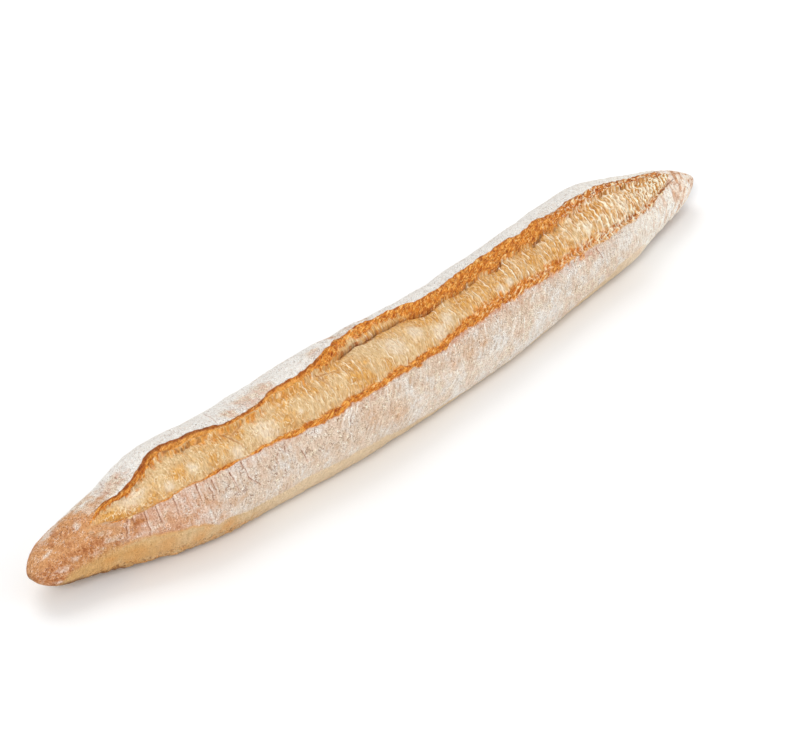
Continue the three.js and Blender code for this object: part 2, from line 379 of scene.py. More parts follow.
width_at, bow_at = curve_of(BODY), curve_of(BODY, 2)
lip_line = curve_of(LIP)
ear_line = curve_of(EAR)
face_width = curve_of(FACE)
ear_rise = curve_of(EAR_RISE)
lip_crag = waves_of(11, 4, 13, 34)
ear_crag = waves_of(23, 4, 14, 40)
groove_crag = waves_of(37, 4, 14, 36)
crumb_ripple = waves_of(41, 4, 12, 26)
side_dent = waves_of(53, 4, 26, 90)
side_lean = waves_of(67, 3, 60, 140)
flour_foot = curve_of(FLOUR_FOOT)
low_edge_line = curve_of(LOW_EDGE_LINE)
lip_band, lip_band_middle = curve_of(LIP_BAND), curve_of(LIP_BAND, 2)
groove_shadow = curve_of(GROOVE_SHADOW)
edge_dark = curve_of(EDGE_DARK)
strand_force = curve_of(STRAND_FORCE)


def section_at(x):
    part = x / LENGTH + 0.5
    from_tip = unit((LENGTH / 2 - np.abs(x)) / NOSE_LENGTH)
    nose = np.sqrt(1 - (1 - from_tip) ** 2)
    full_height = width_at(part) * DOME_RATIO
    lift = TIP_LIFT * unit(1 - np.minimum(part, 1 - part) / LIFT_REACH) ** 2
    return {
        "x": x,
        "half_width": width_at(part) / 2 * nose,
        "height": full_height * nose,
        "bow": bow_at(part),
        "floor": lift + full_height * WAIST_RATIO * (1 - nose),
        "cut": stretch(x, CUT_START, CUT_START + CUT_RAMP, CUT_END - CUT_RAMP, CUT_END),
    }


def plain_point(section, degrees):
    """Point of the plain section, flat below and domed above, as y and z."""
    across = np.cos(np.radians(degrees))
    up = np.sin(np.radians(degrees))
    waist = section["height"] * WAIST_RATIO
    reach = np.where(up >= 0, across, np.sign(across) * np.abs(across) ** CORNER_POWER)
    drop = np.minimum(1, FLAT_CUT * np.abs(up) ** CORNER_POWER)
    z = np.where(up >= 0, mix(waist, section["height"], up), waist * (1 - drop))
    return section["bow"] - section["half_width"] * reach, section["floor"] + z


def raised_point(section, degrees, rise):
    y, z = plain_point(section, degrees)
    before_y, before_z = plain_point(section, degrees - 0.5)
    after_y, after_z = plain_point(section, degrees + 0.5)
    along_y, along_z = after_y - before_y, after_z - before_z
    length = np.hypot(along_y, along_z) + 1e-9
    height = rise * smooth(0, FULL_RELIEF, section["half_width"])
    return y - along_z / length * height, z + along_y / length * height


def skin_dent(x, degrees):
    clear = smooth(-0.75, -0.2, np.sin(np.radians(degrees)))
    return SKIN_DENT * clear * side_dent(x + degrees / 4) * (1 + side_lean(x - degrees / 2) / 3)


def cut_at(section):
    """Where the lines of the cut pass each section, in degrees, and how high they stand."""
    x, cut = section["x"], section["cut"]
    fine = cut / ARC
    teeth = smooth(140, 190, x) * uneven(x, EAR_TEETH)
    lip = lip_line(x) + WANDER * cut * lip_crag(x) + fine * uneven(x, LIP_UNEVEN)
    ear = ear_line(x) + WANDER * cut * ear_crag(x) + fine * (uneven(x, EAR_UNEVEN) + teeth)
    face = face_width(x) * (1 + cut * groove_crag(x) / 8)
    face = np.maximum(face + fine * uneven(x, FACE_UNEVEN), LEAST_FACE)
    ear_height = ear_rise(x) * (1 + ear_crag(x + LENGTH) / 10)
    near_closed = mix(0.85, 0.6, smooth(-62, -46, x)) * smooth(-202, -188, x)
    far_closed = smooth(15, 45, x) * np.clip(0.6 + uneven(x, GROOVE_UNEVEN), 0.2, 0.95)
    open_groove = smooth(4, 9, face) * (1 - np.maximum(near_closed, far_closed))
    undercut = UNDERCUT_RATIO * ear_height * open_groove
    return {
        "lip": lip,
        "ear": ear,
        "groove": ear - face,
        "ear_height": ear_height + cut * uneven(x, EAR_TOP_UNEVEN),
        "lip_height": LIP_RISE * cut * (1 + lip_crag(x + LENGTH) / 3 + uneven(x, LIP_TOP_UNEVEN)),
        "sink": CRUMB_SINK * cut,
        "undercut": undercut,
        "fold": smooth(0.3, 1.5, undercut),
    }


def back_height(lines, angle):
    """How high the back of the ear still stands at an angle behind its edge."""
    return lines["ear_height"] * (1 - smooth(-0.15, 1, (angle - lines["ear"]) / BACK_RUN)) ** 1.2


def crumb_rise(section, lines, part):
    """Swell and ripples of the crumb, from the lip to the groove."""
    cut = section["cut"]
    bulge = CRUMB_SWELL * cut * np.sin(math.pi * part**0.8)
    ripple = CRUMB_RIPPLE * cut * crumb_ripple(section["x"] + 5 * part) * np.sin(math.pi * part)
    return bulge - lines["sink"] * (1 + part / 2) + ripple


def groove_columns(lines, crumb_end):
    """Degrees and rises from the crumb down into the groove and up to the torn face."""
    groove, sink, undercut = lines["groove"], lines["sink"], lines["undercut"]
    stops = [
        (crumb_end, -1.5 * sink),
        (groove - 2 + UNDERCUT_REACH * lines["fold"], -GROOVE_DEPTH * sink - undercut),
        (groove - 1, -0.3 * sink - undercut / 3),
        (groove, FACE_FOOT * lines["ear_height"]),
    ]
    for i in range(COLUMNS["groove"]):
        place = 3 * i / COLUMNS["groove"]
        stop = int(place)
        here, there = stops[stop], stops[stop + 1]
        yield mix(here[0], there[0], place - stop), mix(here[1], there[1], place - stop)


def profile_at(section, lines):
    """Degrees round each section and rise above the dome, one column for each point."""
    lip, ear, groove = lines["lip"], lines["ear"], lines["groove"]
    ear_height, sink = lines["ear_height"], lines["sink"]
    lip_start, crumb_start = lip - LIP_SPREAD, lip + LIP_SPREAD
    crumb_end, edge_end = groove - GROOVE_RUN, ear + EDGE_RUN
    part = {name: (np.arange(count) / count)[None, :] for name, count in COLUMNS.items()}
    foot = LIP_FOOT * section["cut"]
    ridge = lines["lip_height"] * np.sin(math.pi * part["lip"]) ** 2
    lip_rise = mix(foot, -sink, smooth(0.45, 0.9, part["lip"])) + ridge
    back = mix(edge_end, 180, part["far_side"])
    columns = [
        (mix(-90, -BASE_EDGE, part["base"]), 0),
        (mix(-BASE_EDGE, 0, part["corner"]), 0),
        (mix(0, lip_start, part["near_side"]), foot * smooth(0.6, 1, part["near_side"])),
        (mix(lip_start, crumb_start, part["lip"]), lip_rise),
        (mix(crumb_start, crumb_end, part["crumb"]), crumb_rise(section, lines, part["crumb"])),
        *groove_columns(lines, crumb_end),
        (mix(groove, ear, part["face"]), ear_height * mix(FACE_FOOT, 1, part["face"] ** 0.85)),
        (mix(ear, edge_end, part["edge"]), mix(ear_height, back_height(lines, edge_end), part["edge"])),
        (back, back_height(lines, back)),
        (mix(180, 180 + BASE_EDGE, part["corner"]), 0),
        (mix(180 + BASE_EDGE, 270, part["base"]), 0),
    ]
    each_ring = 0 * section["x"]
    degrees = np.concatenate([angle + each_ring for angle, rise in columns], axis=1)
    rises = np.concatenate([rise + 0 * angle + each_ring for angle, rise in columns], axis=1)
    return degrees, rises + skin_dent(section["x"], degrees)


class Places:
    """Where the points of the skin lie, and the patches and tears that many finishes share."""

    def __init__(self, section, lines, degrees):
        self.x, self.cut, self.degrees = section["x"], section["cut"], degrees
        self.y, self.z = plain_point(section, degrees)
        self.round_mm = degrees * ARC
        from_lip = degrees - lines["lip"]
        self.lip_mm = from_lip * ARC
        self.ear_mm = (degrees - lines["ear"]) * ARC
        self.groove_mm = (degrees - lines["groove"]) * ARC
        self.across_crumb = from_lip / (lines["groove"] - lines["lip"])
        self.opening = stretch(self.x, CUT_START - 2, CUT_START + 24, CUT_END - 20, CUT_END + 1)
        self.inside = 0.56 * self.opening - np.abs(from_lip / (lines["ear"] - lines["lip"]) - 0.5)
        self.behind = smooth(-0.2, 0.6, self.ear_mm)
        self.patch = layers(self.x / 17, self.round_mm / 12, SLICE, 201, 3)
        self.spots = layers(self.x / 4.5, self.round_mm / 3.6, SLICE, 211, 3)
        self.torn = self.noise(2.6, 5, 281, STROKE_LEAN) + 0.6 * self.noise(1.3, 3, 282, STROKE_LEAN)

    def noise(self, length, width, seed, lean=0.0):
        """Noise over the skin, with grains of a length along the loaf and a width round it."""
        return noise((self.x - lean * self.round_mm) / length, self.round_mm / width, SLICE, seed)

    def solid_noise(self, count, length, width, seed):
        """Noise through the loaf, with grains of a length along it and a width across it."""
        return layers(self.x / length, self.y / width, self.z / width, seed, count)

    def broken(self, depth):
        """Nearly full cover that is broken up by spots."""
        return unit(0.8 + depth * self.spots)

    def spot(self, row):
        along, angle, size = row
        return bell(self.x - along, size) * bell((self.degrees - angle) * ARC, size)

    def spots_of(self, table):
        total = 0 * self.degrees
        for row in table:
            total = np.maximum(total, self.spot(row))
        return total

    def line_field(self, table):
        """Signed millimetres from the strongest wavy line of a table, and how strong it is, from 0 to 1."""
        wave = 0.5 * self.noise(9, 3.5, 251) + 0.25 * self.noise(4, 1.3, 252)
        side = np.full(self.degrees.shape, 3.0)
        weight = np.zeros(self.degrees.shape)
        for top_x, top_angle, low_x, low_angle in table:
            run_x, run_round = low_x - top_x, (low_angle - top_angle) * ARC
            length = math.hypot(run_x, run_round)
            from_x, from_round = self.x - top_x + wave, self.round_mm - top_angle * ARC
            part = (from_x * run_x + from_round * run_round) / length**2
            across = (from_x * run_round - from_round * run_x) / length
            past = length * np.maximum(0, np.maximum(-part, part - 1))
            near = smooth(2.6, 1.2, np.abs(across)) * smooth(1, 0, past) * (1 - 0.5 * unit(part))
            stronger = near > weight
            side = np.where(stronger, across, side)
            weight = np.where(stronger, near, weight)
        return side, weight


def crumb_mask(at):
    crumb = smooth(-0.8, 0.6, at.lip_mm) * (1 - smooth(-0.3, 0.3, at.ear_mm))
    return crumb * smooth(-0.04, 0.08, at.inside) * smooth(CUT_START, CUT_START + 15, at.x)


def lip_masks(at):
    """The toasted band along the lip, with its flakes and clumps of flour."""
    x, spots, torn, patch = at.x, at.spots, at.torn, at.patch
    band, from_middle = lip_band(x), at.lip_mm - lip_band_middle(x)
    tearing = mix(0.2, 0.5, smooth(10, 60, x))
    ragged = band * np.clip(1 + 0.5 * spots + tearing * torn + 0.3 * patch, 0.3, 2.2)
    toast = bell(from_middle, ragged) * mix(1.1, 0.85 + 0.4 * spots + 0.3 * torn, smooth(60, 130, x))
    clump = stretch(at.lip_mm + 0.8 * band, -2.8, -1.6, -0.2, 1.2) * stretch(x, -20, 10, 110, 150)
    return {
        "lip_toast": toast * mix(0.75 + 0.6 * patch, 1, smooth(-150, -90, x)),
        "lip_flakes": bell(from_middle, 1.6 * band) * stretch(x, 25, 50, 130, 170),
        "clump": clump * smooth(0.15, 0.5, at.noise(2.0, 2.0, 271)),
        "flake": smooth(0.3, 0.6, at.spot(FLAKE)),
    }


def ear_masks(at):
    """The toasted face of the ear, its pale shelf, its rim and what bridges the groove under it. The shelf
    is the crumb-coloured underside of the ear, made paler as painted light against its shade.
    """
    x, torn, spots, groove_mm, ear_mm = at.x, at.torn, at.spots, at.groove_mm, at.ear_mm
    thin = stretch(x, -190, -150, -90, -60)
    toast = smooth(mix(-1.2, -0.8, thin), mix(0.2, 2.6, thin), groove_mm + mix(0.5, 0.25, thin) * torn)
    shelf = smooth(3.4, 0.8, groove_mm - torn - 1.2 * spots) * stretch(x, -60, -46, -6, 8)
    seen_shelf = shelf * smooth(-0.8, 0.6, groove_mm) * smooth(0, -0.6, ear_mm)
    reach = 2.2 + 2.4 * smooth(-60, -110, x) + 1.2 * at.patch
    rim = smooth(-1.8, -0.2, ear_mm) * np.maximum(smooth(-40, -80, x), 0.7 * smooth(150, 190, x))
    near_rim = 1.5 * smooth(-2.6, -1.0, ear_mm) * stretch(x, -200, -185, -145, -125)
    in_groove = bell(groove_mm + 0.4, 1.3)
    far_bridge = 1.3 * smooth(-0.5, 0.2, 0.7 * torn + uneven(x, GROOVE_GAPS)) * stretch(x, 12, 40, 205, 225)
    near_bridge = mix(0.6 + uneven(x, GROOVE_FILL), 0.8, smooth(-150, -130, x))
    near_bridge = near_bridge * stretch(x, -194, -182, -60, -48)
    return {
        "face_toast": toast * (1 - smooth(-0.2, 0.4, ear_mm)) * (1 - 0.8 * shelf),
        "glow": fading(-groove_mm, reach) * (1 - smooth(0, 0.5, groove_mm)) * (0.5 + 0.9 * torn),
        "golden_face": thin * smooth(-0.8, -2.4, ear_mm) * smooth(-5, -2, groove_mm),
        "shelf": seen_shelf * unit(0.5 + 0.7 * torn + 0.8 * spots),
        "rim": np.maximum(rim, near_rim),
        "bridge": in_groove * np.maximum(far_bridge, near_bridge),
    }


def dark_and_shade_mask(at, bridge):
    """Dark edge of the ear and far end of the lip, with painted shadow at the bottom of the groove and
    painted shade in the pits under the near part of the ear.
    """
    x, torn, spots = at.x, at.torn, at.spots
    edge = bell(at.ear_mm + 0.15, 0.5) * edge_dark(x) * np.clip(0.65 + 0.9 * spots + 0.6 * torn, 0, 1.2)
    # Painted shadow along the bottom of the groove under the ear, weaker where the groove is bridged.
    floor = bell(at.groove_mm + 0.4, 0.8) * groove_shadow(x)
    floor = floor * smooth(-0.5, 0.3, spots + 0.3) * unit(1 - bridge)
    # Painted shade in the dark pits under the near part of the ear.
    pit_shade = stretch(x, -197, -186, -156, -144) * bell(at.groove_mm + 0.6, 1.7)
    pit_shade = pit_shade * smooth(0, 0.4, at.noise(2.1, 1.5, 261))
    lip = bell(at.lip_mm, 0.8) * stretch(x, 200, 215, 235, 241) * (0.8 + 0.5 * torn)
    dark_and_shade = np.maximum(np.maximum(0.85 * edge, floor), np.maximum(0.65 * pit_shade, 0.8 * lip))
    return unit(dark_and_shade * smooth(0, 0.3, at.opening))


def gold_mask(at, pale):
    """How golden the crumb is: more towards the far end and beside the toasted edges."""
    x = at.x
    gold = 0.42 + 0.12 * smooth(-20, 60, x) + 0.14 * stretch(x, 10, 60, 120, 160) + 0.2 * smooth(150, 190, x)
    gold = gold + 0.5 * at.patch + (0.12 + 0.2 * smooth(140, 180, x)) * at.spots
    gold = gold + 0.4 * fading(at.lip_mm, 3) + 0.3 * fading(-at.groove_mm, 6)
    gold = gold + 0.75 * at.spots_of(GOLD_PATCHES) - 0.7 * pale
    creamy = 0.25 * stretch(x, -150, -125, -118, -100) + 0.15 * stretch(x, -205, -185, -155, -140)
    return unit(gold - creamy)


def cut_masks(at):
    """Where the torn crumb, the toasted edges and the dark lines lie."""
    x = at.x
    crumb = crumb_mask(at)
    masks = lip_masks(at) | ear_masks(at)
    lip_toast, face_toast = masks.pop("lip_toast"), masks.pop("face_toast")
    toast = unit(np.maximum(np.maximum(lip_toast, face_toast), masks.pop("glow")))
    over_lip = stretch(x, 60, 140, 188, 206)
    pale = at.spots_of(PALE_PATCHES)
    fold_side, fold_weight = at.line_field(CRUMB_FOLDS)
    return masks | {
        "crumb": crumb,
        "toast": toast * smooth(0, 0.3, at.opening) * smooth(-0.1, 0.05, at.inside + 0.06),
        "strand_room": crumb * (1 - face_toast) * mix(1 - unit(lip_toast), 1, over_lip),
        "dark_and_shade": dark_and_shade_mask(at, masks["bridge"]),
        "gold": gold_mask(at, pale),
        "pale": pale,
        "fold_side": fold_side,
        "fold_weight": fold_weight * crumb,
        "flaky": 0.5 * smooth(-70, -40, x) + 0.5 * smooth(90, 180, x),
    }


def foot_masks(at):
    """The pale foot under the flour, its coloured places, and the flat underside."""
    x, degrees, spots = at.x, at.degrees, at.spots
    foot_line = flour_foot(x) + 3 * at.patch + 1.5 * spots
    softness = 1.8 + 15 * smooth(-195, -235, x)
    edge = bell((degrees - foot_line) * ARC, 1.3) * stretch(x, -228, -212, -155, -135) * at.broken(0.8)
    depth = np.maximum((foot_line - degrees) / softness, (degrees + 5 * at.patch - 204) / 8)
    bottom = smooth(1, -4, degrees - low_edge_line(x) + 2 * at.patch)
    tan = np.maximum(at.spots_of(TAN_PATCHES) * (0.8 + 0.6 * spots), edge)
    return {
        "tan": unit(tan) * (1 - at.behind),
        "foot_orange": np.maximum(at.spots_of(FOOT_ORANGE) * at.broken(0.7), edge),
        "foot_rough": smooth(-12, -20, degrees + 5 * spots) * stretch(x, -242, -228, -150, -125),
        # Paler foot from the middle on: partly its own colour, partly painted light against its shade.
        "pale_lit_foot": smooth(-170, -110, x),
        "foot": smooth(-1, 1, depth),
        "foot_depth": depth,
        "underside": smooth(-48, -62, degrees) + smooth(228, 242, degrees),
        "bottom": bottom * stretch(x, -254, -245, -215, -200),
    }


def flour_masks(at):
    """The flour, the browned ends, the pinkish places, the paler top of the browned end (partly flour,
    partly painted light from above), and the lighter far end (whiter flour, and painted light on the foot).
    """
    x, degrees, patch, spots, behind = at.x, at.degrees, at.patch, at.spots, at.behind
    front = 1 - behind
    brown_near = smooth(-190, -232, x + 14 * patch + 16 * spots - 14 * smooth(34, 14, degrees))
    brown_far = smooth(-200, -228, x + 16 * patch + 12 * spots + 16 * smooth(98, 128, degrees))
    brown = mix(brown_near, brown_far, behind)
    dust = at.spots_of(NOSE_DUST)
    back_blush = at.spots_of(BACK_BLUSH) * at.broken(0.6) * behind
    near_blush = 0.8 * stretch(x, -225, -205, -180, -150) * front
    lip_blush = fading(-at.lip_mm - 1, 3.6) * stretch(x, -222, -180, -60, -10)
    blush = np.maximum(lip_blush, near_blush) * (1 + 0.2 * spots)
    halo = fading(-at.lip_mm - 3.2, 3.0) * stretch(x, -20, 15, 130, 170) * front
    far_blush = fading(-at.lip_mm - 1, 4.5) * smooth(178, 200, x) * front
    flour = mix(0.55, 1.0, behind) + 0.12 * patch + 0.08 * spots
    flour = flour + (0.15 * smooth(50, 130, x) + 0.12 * smooth(150, 210, x)) * front
    flour = flour + 0.2 * stretch(x, -60, 0, 70, 110) * smooth(30, 14, degrees)
    flour = flour + (0.7 * dust - 0.25 * spots - mix(0.75, 1.0, behind)) * brown
    flour = flour - 0.18 * stretch(x, -228, -212, -190, -160) * front
    flour = flour - 0.3 * halo * at.broken(0.8) - 0.6 * back_blush
    return {
        "flour": np.clip(flour, -0.3, 1.2),
        "brown": brown,
        "dust": dust * at.broken(0.8) * brown,
        "tip_blush": np.maximum(smooth(218, 246, x + 5 * patch), 0.6 * far_blush),
        "blush": unit(np.maximum(np.maximum(blush, halo), back_blush)),
        "lit_nose_top": stretch(degrees, 38, 62, 130, 170),
        # Lighter towards the far end: whiter flour, and on the foot painted light against its shade.
        "bright": smooth(150, 205, x),
    }


def mark_masks(at):
    """The cracks, ridges and folds of the skin."""
    crack_side, crack_weight = at.line_field(CRACKS)
    ridge_side, ridge_weight = at.line_field(RIDGES)
    thinner_behind = 1 - 0.5 * at.behind
    return {
        "crack_side": crack_side,
        "crack_weight": crack_weight * thinner_behind,
        "ridge_side": ridge_side,
        "ridge_weight": ridge_weight,
        "craze": stretch(at.x, -178, -150, -80, -50) * smooth(-1, -4, at.lip_mm) * smooth(2, 14, at.degrees),
        "slant": stretch(at.x, -130, -70, 90, 150),
        "far_fold": at.noise(3.0, 11, 309, 0.25) * smooth(180, 215, at.x) * thinner_behind,
    }


def strand_set(at, step, lean, seed):
    """Strands that cross the crumb: their count along the loaf, and the strength of each one."""
    x, place = at.x, at.across_crumb
    bend = 1.1 * at.noise(5, 4, seed + 1) + 0.6 * at.noise(2.4, 2.2, seed + 2)
    bend = 1.5 * at.noise(15, 11, seed) + bend * (1 + 0.9 * smooth(130, 180, x))
    count = (x + bend + lean * at.round_mm) / step
    force = strand_force(x)
    even = 0.4 * smooth(120, 190, x)
    begins = mix(-0.5, 0.55, scatter(count, seed + 3)) - even
    ends = begins + mix(0.35, 1.4, scatter(count, seed + 4)) + 2 * even
    reach = stretch(place, begins, begins + 0.15, ends - 0.15, ends)
    strength = mix(mix(0.15 + 0.35 * smooth(0, 60, x), 1, scatter(count, seed + 5) ** 1.3), 1, even)
    patchy = smooth(-0.3, 0.3, at.noise(4, 3, seed + 6) + 0.6 * (force - 0.6))
    return count, unit(force * strength * reach * patchy)


def strand_masks(at, room):
    """Two sets of strands and a net of threads, where the cut has room for them."""
    x = at.x
    strand, weight = strand_set(at, STRAND_STEP, STRAND_LEAN, 311)
    fine_strand, fine_weight = strand_set(at, FINE_STRAND_STEP, FINE_STRAND_LEAN, 341)
    net_patch = smooth(-0.3, 0.4, at.noise(7, 7, 373) + 0.1)
    net_weight = mix(0.5, 1, smooth(125, 150, x)) * stretch(x, 40, 130, 180, 215) * net_patch
    return {
        "strand": strand,
        "strand_weight": weight * room,
        "fine_strand": fine_strand,
        "fine_weight": fine_weight * mix(0.3, 1, smooth(180, 205, x)) * room,
        "strand_width": 0.56 + 0.24 * smooth(120, 180, x) + 0.2 * at.noise(3, 5, 374),
        "net": at.noise(2.8, 6, 371, STROKE_LEAN) + 0.35 * at.noise(1.3, 2.6, 372, STROKE_LEAN),
        "net_weight": net_weight * room,
    }


def grit_mask(at, masks):
    """How strong the light and dark specks are on each finish."""
    x = at.x
    far = smooth(0, 180, x)
    grit = 1.5 + 0.5 * smooth(-20, 60, x) - 0.8 * smooth(130, 190, x)
    grit = grit - 0.3 * masks["brown"] + 0.6 * at.behind
    grit = mix(grit, 0.6 + 0.3 * far, masks["crumb"])
    grit = mix(grit, 2.6 + 0.9 * far + smooth(140, 180, x), masks["toast"])
    return mix(grit, 0.55 + 0.8 * masks["foot_rough"], masks["foot"])


def masks_at(at):
    """Where each finish lies, and the fields that its marks follow, with a value for each point."""
    masks = cut_masks(at) | flour_masks(at) | foot_masks(at) | mark_masks(at)
    masks = masks | strand_masks(at, masks.pop("strand_room"))
    masks["crag"] = at.solid_noise(3, 3.4, 2.6, 321)
    masks["grit"] = grit_mask(at, masks)
    return {name: values + 0 * at.degrees for name, values in masks.items()}


def line_shape(masks, name):
    return masks[name + "_weight"] * bell(masks[name + "_side"], LINE_WIDTH)


def strand_shape(count, step, width):
    """Rounded ridge at each half count."""
    return bell((count - np.floor(count) - 0.5) * step, 0.8 * width)


def skin_relief(at, masks):
    """Pebbles, wrinkles, cracks and folds of the skin, and lumps of the foot."""
    pebble = 0.18 * at.solid_noise(3, 6, 6, 301) + 0.14 * at.solid_noise(1, 2.2, 2.2, 305)
    wrinkle = smooth(0.18, 0, np.abs(at.solid_noise(1, 5, 16, 307)))
    wrinkle = wrinkle * smooth(-0.2, 0.4, at.solid_noise(1, 30, 30, 308))
    lumps = 0.5 * at.solid_noise(3, 9, 9, 351)
    lumps = lumps + 0.7 * at.solid_noise(2, 4.5, 6, 352) * stretch(at.x, -238, -228, -150, -120)
    lumps = lumps * masks["foot"] * mix(0.5, 1.2, masks["foot_rough"])
    marks = 0.3 * line_shape(masks, "ridge") - 0.35 * line_shape(masks, "crack")
    return pebble + lumps + marks - 0.14 * wrinkle + 0.9 * masks["far_fold"]


def crumb_relief(at, masks):
    """Strands and threads that cross the crumb, and its soft pillows and folds."""
    width = masks["strand_width"]
    strand = masks["strand_weight"] * strand_shape(masks["strand"], STRAND_STEP, width)
    strand = strand + masks["fine_weight"] * strand_shape(masks["fine_strand"], FINE_STRAND_STEP, width)
    strand = strand + masks["net_weight"] * smooth(0.22, 0, np.abs(masks["net"]))
    grain = layers(at.x / 2.4, at.round_mm / 2.4, SLICE, 318, 2)
    soft = 0.4 * at.noise(8, 20, 316) + 0.12 * grain - 0.5 * line_shape(masks, "fold")
    inner = masks["crumb"] * (1 - 0.6 * masks["toast"])
    return (0.5 + 0.3 * smooth(60, 190, at.x)) * strand + inner * soft


def relief_at(at, masks):
    """Fine relief of each finish, in millimetres."""
    toast = masks["toast"]
    skin = unit(1 - masks["crumb"]) * (1 - masks["underside"])
    crags = mix(0.5, 0.75, smooth(20, 80, at.x)) * masks["crag"]
    crags = crags + 0.35 * smooth(0.22, 0, np.abs(masks["net"]))
    total = skin * skin_relief(at, masks) + crumb_relief(at, masks)
    total = total + 0.45 * np.maximum(masks["clump"], masks["flake"])
    return total + toast * crags * at.cut - 0.4 * masks["dark_and_shade"] * toast + 1.5 * masks["bridge"] * at.cut


def loaf_geometry():
    steps = np.arange(1, STATIONS) / STATIONS
    x = LENGTH * mix(steps - 0.5, -np.cos(math.pi * steps) / 2, 0.3)[:, None]
    section = section_at(x)
    lines = cut_at(section)
    degrees, rise = profile_at(section, lines)
    at = Places(section, lines, degrees)
    masks = masks_at(at)
    y, z = raised_point(section, degrees, rise + relief_at(at, masks))
    z = np.maximum(z, 0)
    tips = np.array([-LENGTH / 2, LENGTH / 2])
    tip_section = section_at(tips)
    rings = np.stack([x + 0 * y, y, z], -1)
    ends = np.stack([tips, tip_section["bow"], tip_section["floor"]], -1)
    points = np.concatenate([ends[:1], rings.reshape(-1, 3), ends[1:]])
    points[:, 1] -= (points[:, 1].min() + points[:, 1].max()) / 2
    layout = np.stack([x + 0 * degrees, at.round_mm, 0 * degrees], -1)
    return points, layout, masks, degrees.shape[1]


def with_ends(values):
    """Values at the rings, with each tip given the mean of its nearest ring."""
    flat = values.reshape(-1, *values.shape[2:])
    return np.concatenate([values[:1].mean(1), flat, values[-1:].mean(1)]).astype(np.float32)


def loaf_faces(rings, columns):
    """Quads from ring to ring, and a fan of triangles at each tip."""
    around = np.arange(columns)
    following = (around + 1) % columns
    first = 1 + np.arange(rings)[:, None] * columns
    here, beside = first[:-1] + around, first[:-1] + following
    quads = np.stack([here, here + columns, beside + columns, beside], -1).reshape(-1, 4)
    last = first[-1]
    far_tip = last + columns
    near_fan = np.stack([0 * around, 1 + around, 1 + following], -1)
    far_fan = np.stack([0 * around + far_tip, last + following, last + around], -1)
    return quads.tolist() + near_fan.tolist() + far_fan.tolist()


def flat_layout(rings, columns):
    """Corners of the faces laid out flat, in the order of the faces."""
    quad = [(0, 0), (1, 0), (1, 1), (0, 1)]
    near_fan = [(-1, 0.5), (0, 0), (0, 1)]
    far_fan = [(1, 0.5), (0, 1), (0, 0)]
    rows = [(ring, quad) for ring in range(rings - 1)] + [(0, near_fan), (rings - 1, far_fan)]
    corners = [
        ((along + 1 + step_along) / (rings + 1), (around + step_around) / columns)
        for along, steps in rows
        for around in range(columns)
        for step_along, step_around in steps
    ]
    return np.array(corners).reshape(-1)


def make_loaf(material):
    points, layout, masks, columns = loaf_geometry()
    rings = STATIONS - 1
    mesh = bpy.data.meshes.new("loaf_crust")
    mesh.from_pydata((points * MILLIMETRE).tolist(), [], loaf_faces(rings, columns))
    mesh.uv_layers.new(name="OFBake").data.foreach_set("uv", flat_layout(rings, columns))
    for name, values in masks.items():
        field = mesh.attributes.new(name, "FLOAT", "POINT")
        field.data.foreach_set("value", with_ends(values))
    field = mesh.attributes.new("layout", "FLOAT_VECTOR", "POINT")
    field.data.foreach_set("vector", with_ends(layout).reshape(-1))
    mesh.polygons.foreach_set("use_smooth", np.ones(len(mesh.polygons), bool))
    mesh.materials.append(material)
    mesh.update()
    piece = bpy.data.objects.new("loaf_crust", mesh)
    bpy.context.scene.collection.objects.link(piece)
    return piece


class Value:
    """A number or colour of the shader, which takes part in sums as a plain number does."""

    def __init__(self, nodes, socket):
        self.nodes, self.socket = nodes, socket

    def __add__(self, other):
        return self.nodes.sums("ADD", self, other)

    def __sub__(self, other):
        return self.nodes.sums("SUBTRACT", self, other)

    def __rsub__(self, other):
        return self.nodes.sums("SUBTRACT", other, self)

    def __mul__(self, other):
        return self.nodes.sums("MULTIPLY", self, other)

    def __truediv__(self, other):
        return self.nodes.sums("DIVIDE", self, other)

    def __abs__(self):
        return self.nodes.sums("ABSOLUTE", self)

    __radd__ = __add__
    __rmul__ = __mul__


def colour(seen):
    """A colour as seen, from 0 to 255, as a linear colour. A colour of the shader stays as it is."""
    if isinstance(seen, Value):
        return seen
    seen = np.array(seen) / 255
    linear = np.where(seen <= 0.04045, seen / 12.92, ((seen + 0.055) / 1.055) ** 2.4)
    return (*linear.tolist(), 1.0)


